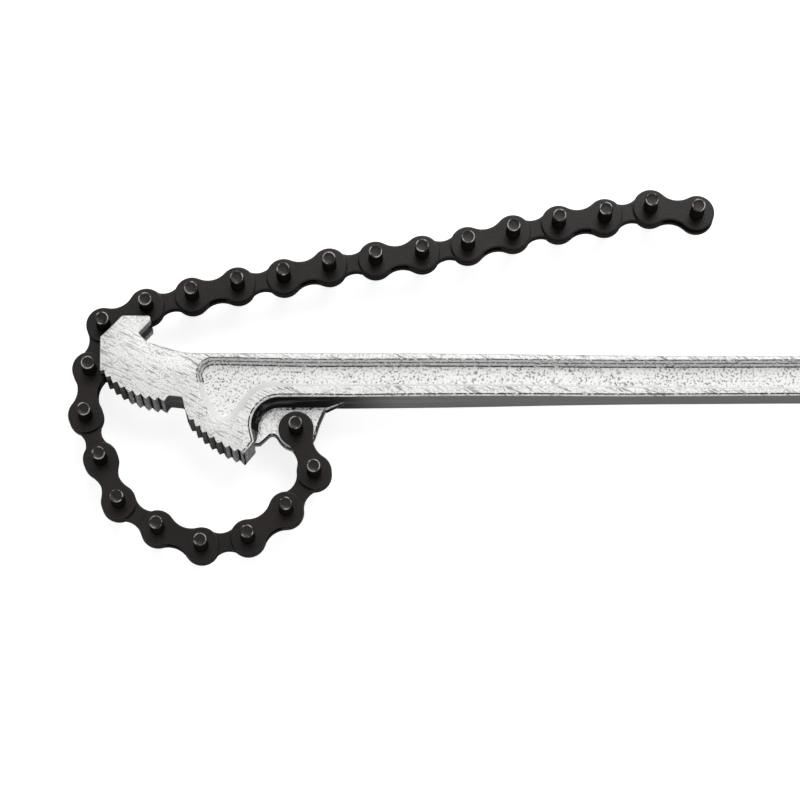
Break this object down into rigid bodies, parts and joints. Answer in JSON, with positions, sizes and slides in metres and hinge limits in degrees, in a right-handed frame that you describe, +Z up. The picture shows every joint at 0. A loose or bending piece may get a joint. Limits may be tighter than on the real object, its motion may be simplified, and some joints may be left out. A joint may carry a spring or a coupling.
{
  "type": "chain pipe wrench",
  "caption": "Chain pipe wrench with a one-piece I-beam handle, two toothed jaws, a hook, a grooved nose, and a plate chain on long pins that starts at a lug.",
  "frame": {"origin": "middle of the footprint, on the plane that the lowest pin ends stand on, with the wrench lying on its side", "axes": "+X along the handle towards its free end, +Y from the jaws' side to the hook's side, +Z up along the chain's pins"},
  "size_m": [0.47, 0.1534, 0.0368],
  "materials": {
    "forged_steel": "satin plating over forging grain, with ground side faces",
    "chain_steel": "dark oiled oxide with a soft sheen"
  },
  "bodies": {
    "wrench": {"handle_body": "forged_steel"},
    "link_01": {"chain_pin_01": "chain_steel", "chain_pin_02": "chain_steel", "outer_plate_01_lower": "chain_steel", "outer_plate_01_upper": "chain_steel"},
    "link_02": {"inner_link_02": "chain_steel"},
    "link_03": {"chain_pin_03": "chain_steel", "chain_pin_04": "chain_steel", "outer_plate_03_lower": "chain_steel", "outer_plate_03_upper": "chain_steel"},
    "link_04": {"inner_link_04": "chain_steel"},
    "link_05": {"chain_pin_05": "chain_steel", "chain_pin_06": "chain_steel", "outer_plate_05_lower": "chain_steel", "outer_plate_05_upper": "chain_steel"},
    "link_06": {"inner_link_06": "chain_steel"},
    "link_07": {"chain_pin_07": "chain_steel", "chain_pin_08": "chain_steel", "outer_plate_07_lower": "chain_steel", "outer_plate_07_upper": "chain_steel"},
    "link_08": {"inner_link_08": "chain_steel"},
    "link_09": {"chain_pin_09": "chain_steel", "chain_pin_10": "chain_steel", "outer_plate_09_lower": "chain_steel", "outer_plate_09_upper": "chain_steel"},
    "link_10": {"inner_link_10": "chain_steel"},
    "link_11": {"chain_pin_11": "chain_steel", "chain_pin_12": "chain_steel", "outer_plate_11_lower": "chain_steel", "outer_plate_11_upper": "chain_steel"},
    "link_12": {"inner_link_12": "chain_steel"},
    "link_13": {"chain_pin_13": "chain_steel", "chain_pin_14": "chain_steel", "outer_plate_13_lower": "chain_steel", "outer_plate_13_upper": "chain_steel"},
    "link_14": {"inner_link_14": "chain_steel"},
    "link_15": {"chain_pin_15": "chain_steel", "chain_pin_16": "chain_steel", "outer_plate_15_lower": "chain_steel", "outer_plate_15_upper": "chain_steel"},
    "link_16": {"inner_link_16": "chain_steel"},
    "link_17": {"chain_pin_17": "chain_steel", "chain_pin_18": "chain_steel", "outer_plate_17_lower": "chain_steel", "outer_plate_17_upper": "chain_steel"},
    "link_18": {"inner_link_18": "chain_steel"},
    "link_19": {"chain_pin_19": "chain_steel", "chain_pin_20": "chain_steel", "outer_plate_19_lower": "chain_steel", "outer_plate_19_upper": "chain_steel"},
    "link_20": {"inner_link_20": "chain_steel"},
    "link_21": {"chain_pin_21": "chain_steel", "chain_pin_22": "chain_steel", "outer_plate_21_lower": "chain_steel", "outer_plate_21_upper": "chain_steel"},
    "link_22": {"inner_link_22": "chain_steel"},
    "link_23": {"chain_pin_23": "chain_steel", "chain_pin_24": "chain_steel", "outer_plate_23_lower": "chain_steel", "outer_plate_23_upper": "chain_steel"}
  },
  "joints": [
    {"name": "hinge_01", "type": "hinge", "parent": "wrench", "child": "link_01", "pos_m": [-0.14295, -0.02228, 0.0184], "axis": [0, 0, -1], "range_deg": [-2, 3.5]},
    {"name": "hinge_02", "type": "hinge", "parent": "link_01", "child": "link_02", "pos_m": [-0.13557, -0.03984, 0.0184], "axis": [0, 0, 1], "range_deg": [-2, 2]},
    {"name": "hinge_03", "type": "hinge", "parent": "link_02", "child": "link_03", "pos_m": [-0.14681, -0.05522, 0.0184], "axis": [0, 0, -1], "range_deg": [-2.5, 1]},
    {"name": "hinge_04", "type": "hinge", "parent": "link_03", "child": "link_04", "pos_m": [-0.16214, -0.06652, 0.0184], "axis": [0, 0, 1], "range_deg": [-1, 3]},
    {"name": "hinge_05", "type": "hinge", "parent": "link_04", "child": "link_05", "pos_m": [-0.18091, -0.06981, 0.0184], "axis": [0, 0, 1], "range_deg": [-1, 93]},
    {"name": "hinge_06", "type": "hinge", "parent": "link_05", "child": "link_06", "pos_m": [-0.19863, -0.06283, 0.0184], "axis": [0, 0, -1], "range_deg": [-74, 1]},
    {"name": "hinge_07", "type": "hinge", "parent": "link_06", "child": "link_07", "pos_m": [-0.21443, -0.05219, 0.0184], "axis": [0, 0, 1], "range_deg": [-1, 94.5]},
    {"name": "hinge_08", "type": "hinge", "parent": "link_07", "child": "link_08", "pos_m": [-0.2219, -0.03467, 0.0184], "axis": [0, 0, 1], "range_deg": [-1, 65.5]},
    {"name": "hinge_09", "type": "hinge", "parent": "link_08", "child": "link_09", "pos_m": [-0.22815, -0.01667, 0.0184], "axis": [0, 0, -1], "range_deg": [-85, 1.5]},
    {"name": "hinge_10", "type": "hinge", "parent": "link_09", "child": "link_10", "pos_m": [-0.22673, 0.00232, 0.0184], "axis": [0, 0, 1], "range_deg": [-4, 74]},
    {"name": "hinge_11", "type": "hinge", "parent": "link_10", "child": "link_11", "pos_m": [-0.22124, 0.02057, 0.0184], "axis": [0, 0, -1], "range_deg": [-110, 8.5]},
    {"name": "hinge_12", "type": "hinge", "parent": "link_11", "child": "link_12", "pos_m": [-0.20395, 0.02855, 0.0184], "axis": [0, 0, 1], "range_deg": [-12.5, 72.5]},
    {"name": "hinge_13", "type": "hinge", "parent": "link_12", "child": "link_13", "pos_m": [-0.18546, 0.03316, 0.0184], "axis": [0, 0, -1], "range_deg": [-62.5, 13.5]},
    {"name": "hinge_14", "type": "hinge", "parent": "link_13", "child": "link_14", "pos_m": [-0.1669, 0.03745, 0.0184], "axis": [0, 0, 1], "range_deg": [-15, 64]},
    {"name": "hinge_15", "type": "hinge", "parent": "link_14", "child": "link_15", "pos_m": [-0.14817, 0.04092, 0.0184], "axis": [0, 0, -1], "range_deg": [-59, 17]},
    {"name": "hinge_16", "type": "hinge", "parent": "link_15", "child": "link_16", "pos_m": [-0.12965, 0.04537, 0.0184], "axis": [0, 0, -1], "range_deg": [-67, 19]},
    {"name": "hinge_17", "type": "hinge", "parent": "link_16", "child": "link_17", "pos_m": [-0.11081, 0.04818, 0.0184], "axis": [0, 0, 1], "range_deg": [-22, 62.5]},
    {"name": "hinge_18", "type": "hinge", "parent": "link_17", "child": "link_18", "pos_m": [-0.09192, 0.05067, 0.0184], "axis": [0, 0, 1], "range_deg": [-26, 58]},
    {"name": "hinge_19", "type": "hinge", "parent": "link_18", "child": "link_19", "pos_m": [-0.07322, 0.0543, 0.0184], "axis": [0, 0, 1], "range_deg": [-32, 58]},
    {"name": "hinge_20", "type": "hinge", "parent": "link_19", "child": "link_20", "pos_m": [-0.05482, 0.05923, 0.0184], "axis": [0, 0, 1], "range_deg": [-42, 65]},
    {"name": "hinge_21", "type": "hinge", "parent": "link_20", "child": "link_21", "pos_m": [-0.03619, 0.0632, 0.0184], "axis": [0, 0, -1], "range_deg": [-65, 58.5]},
    {"name": "hinge_22", "type": "hinge", "parent": "link_21", "child": "link_22", "pos_m": [-0.01734, 0.06601, 0.0184], "axis": [0, 0, -1], "range_deg": [-59, 64.5]},
    {"name": "hinge_23", "type": "hinge", "parent": "link_22", "child": "link_23", "pos_m": [0.00132, 0.06981, 0.0184], "axis": [0, 0, 1], "range_deg": [-43, 80.5]}
  ]
}
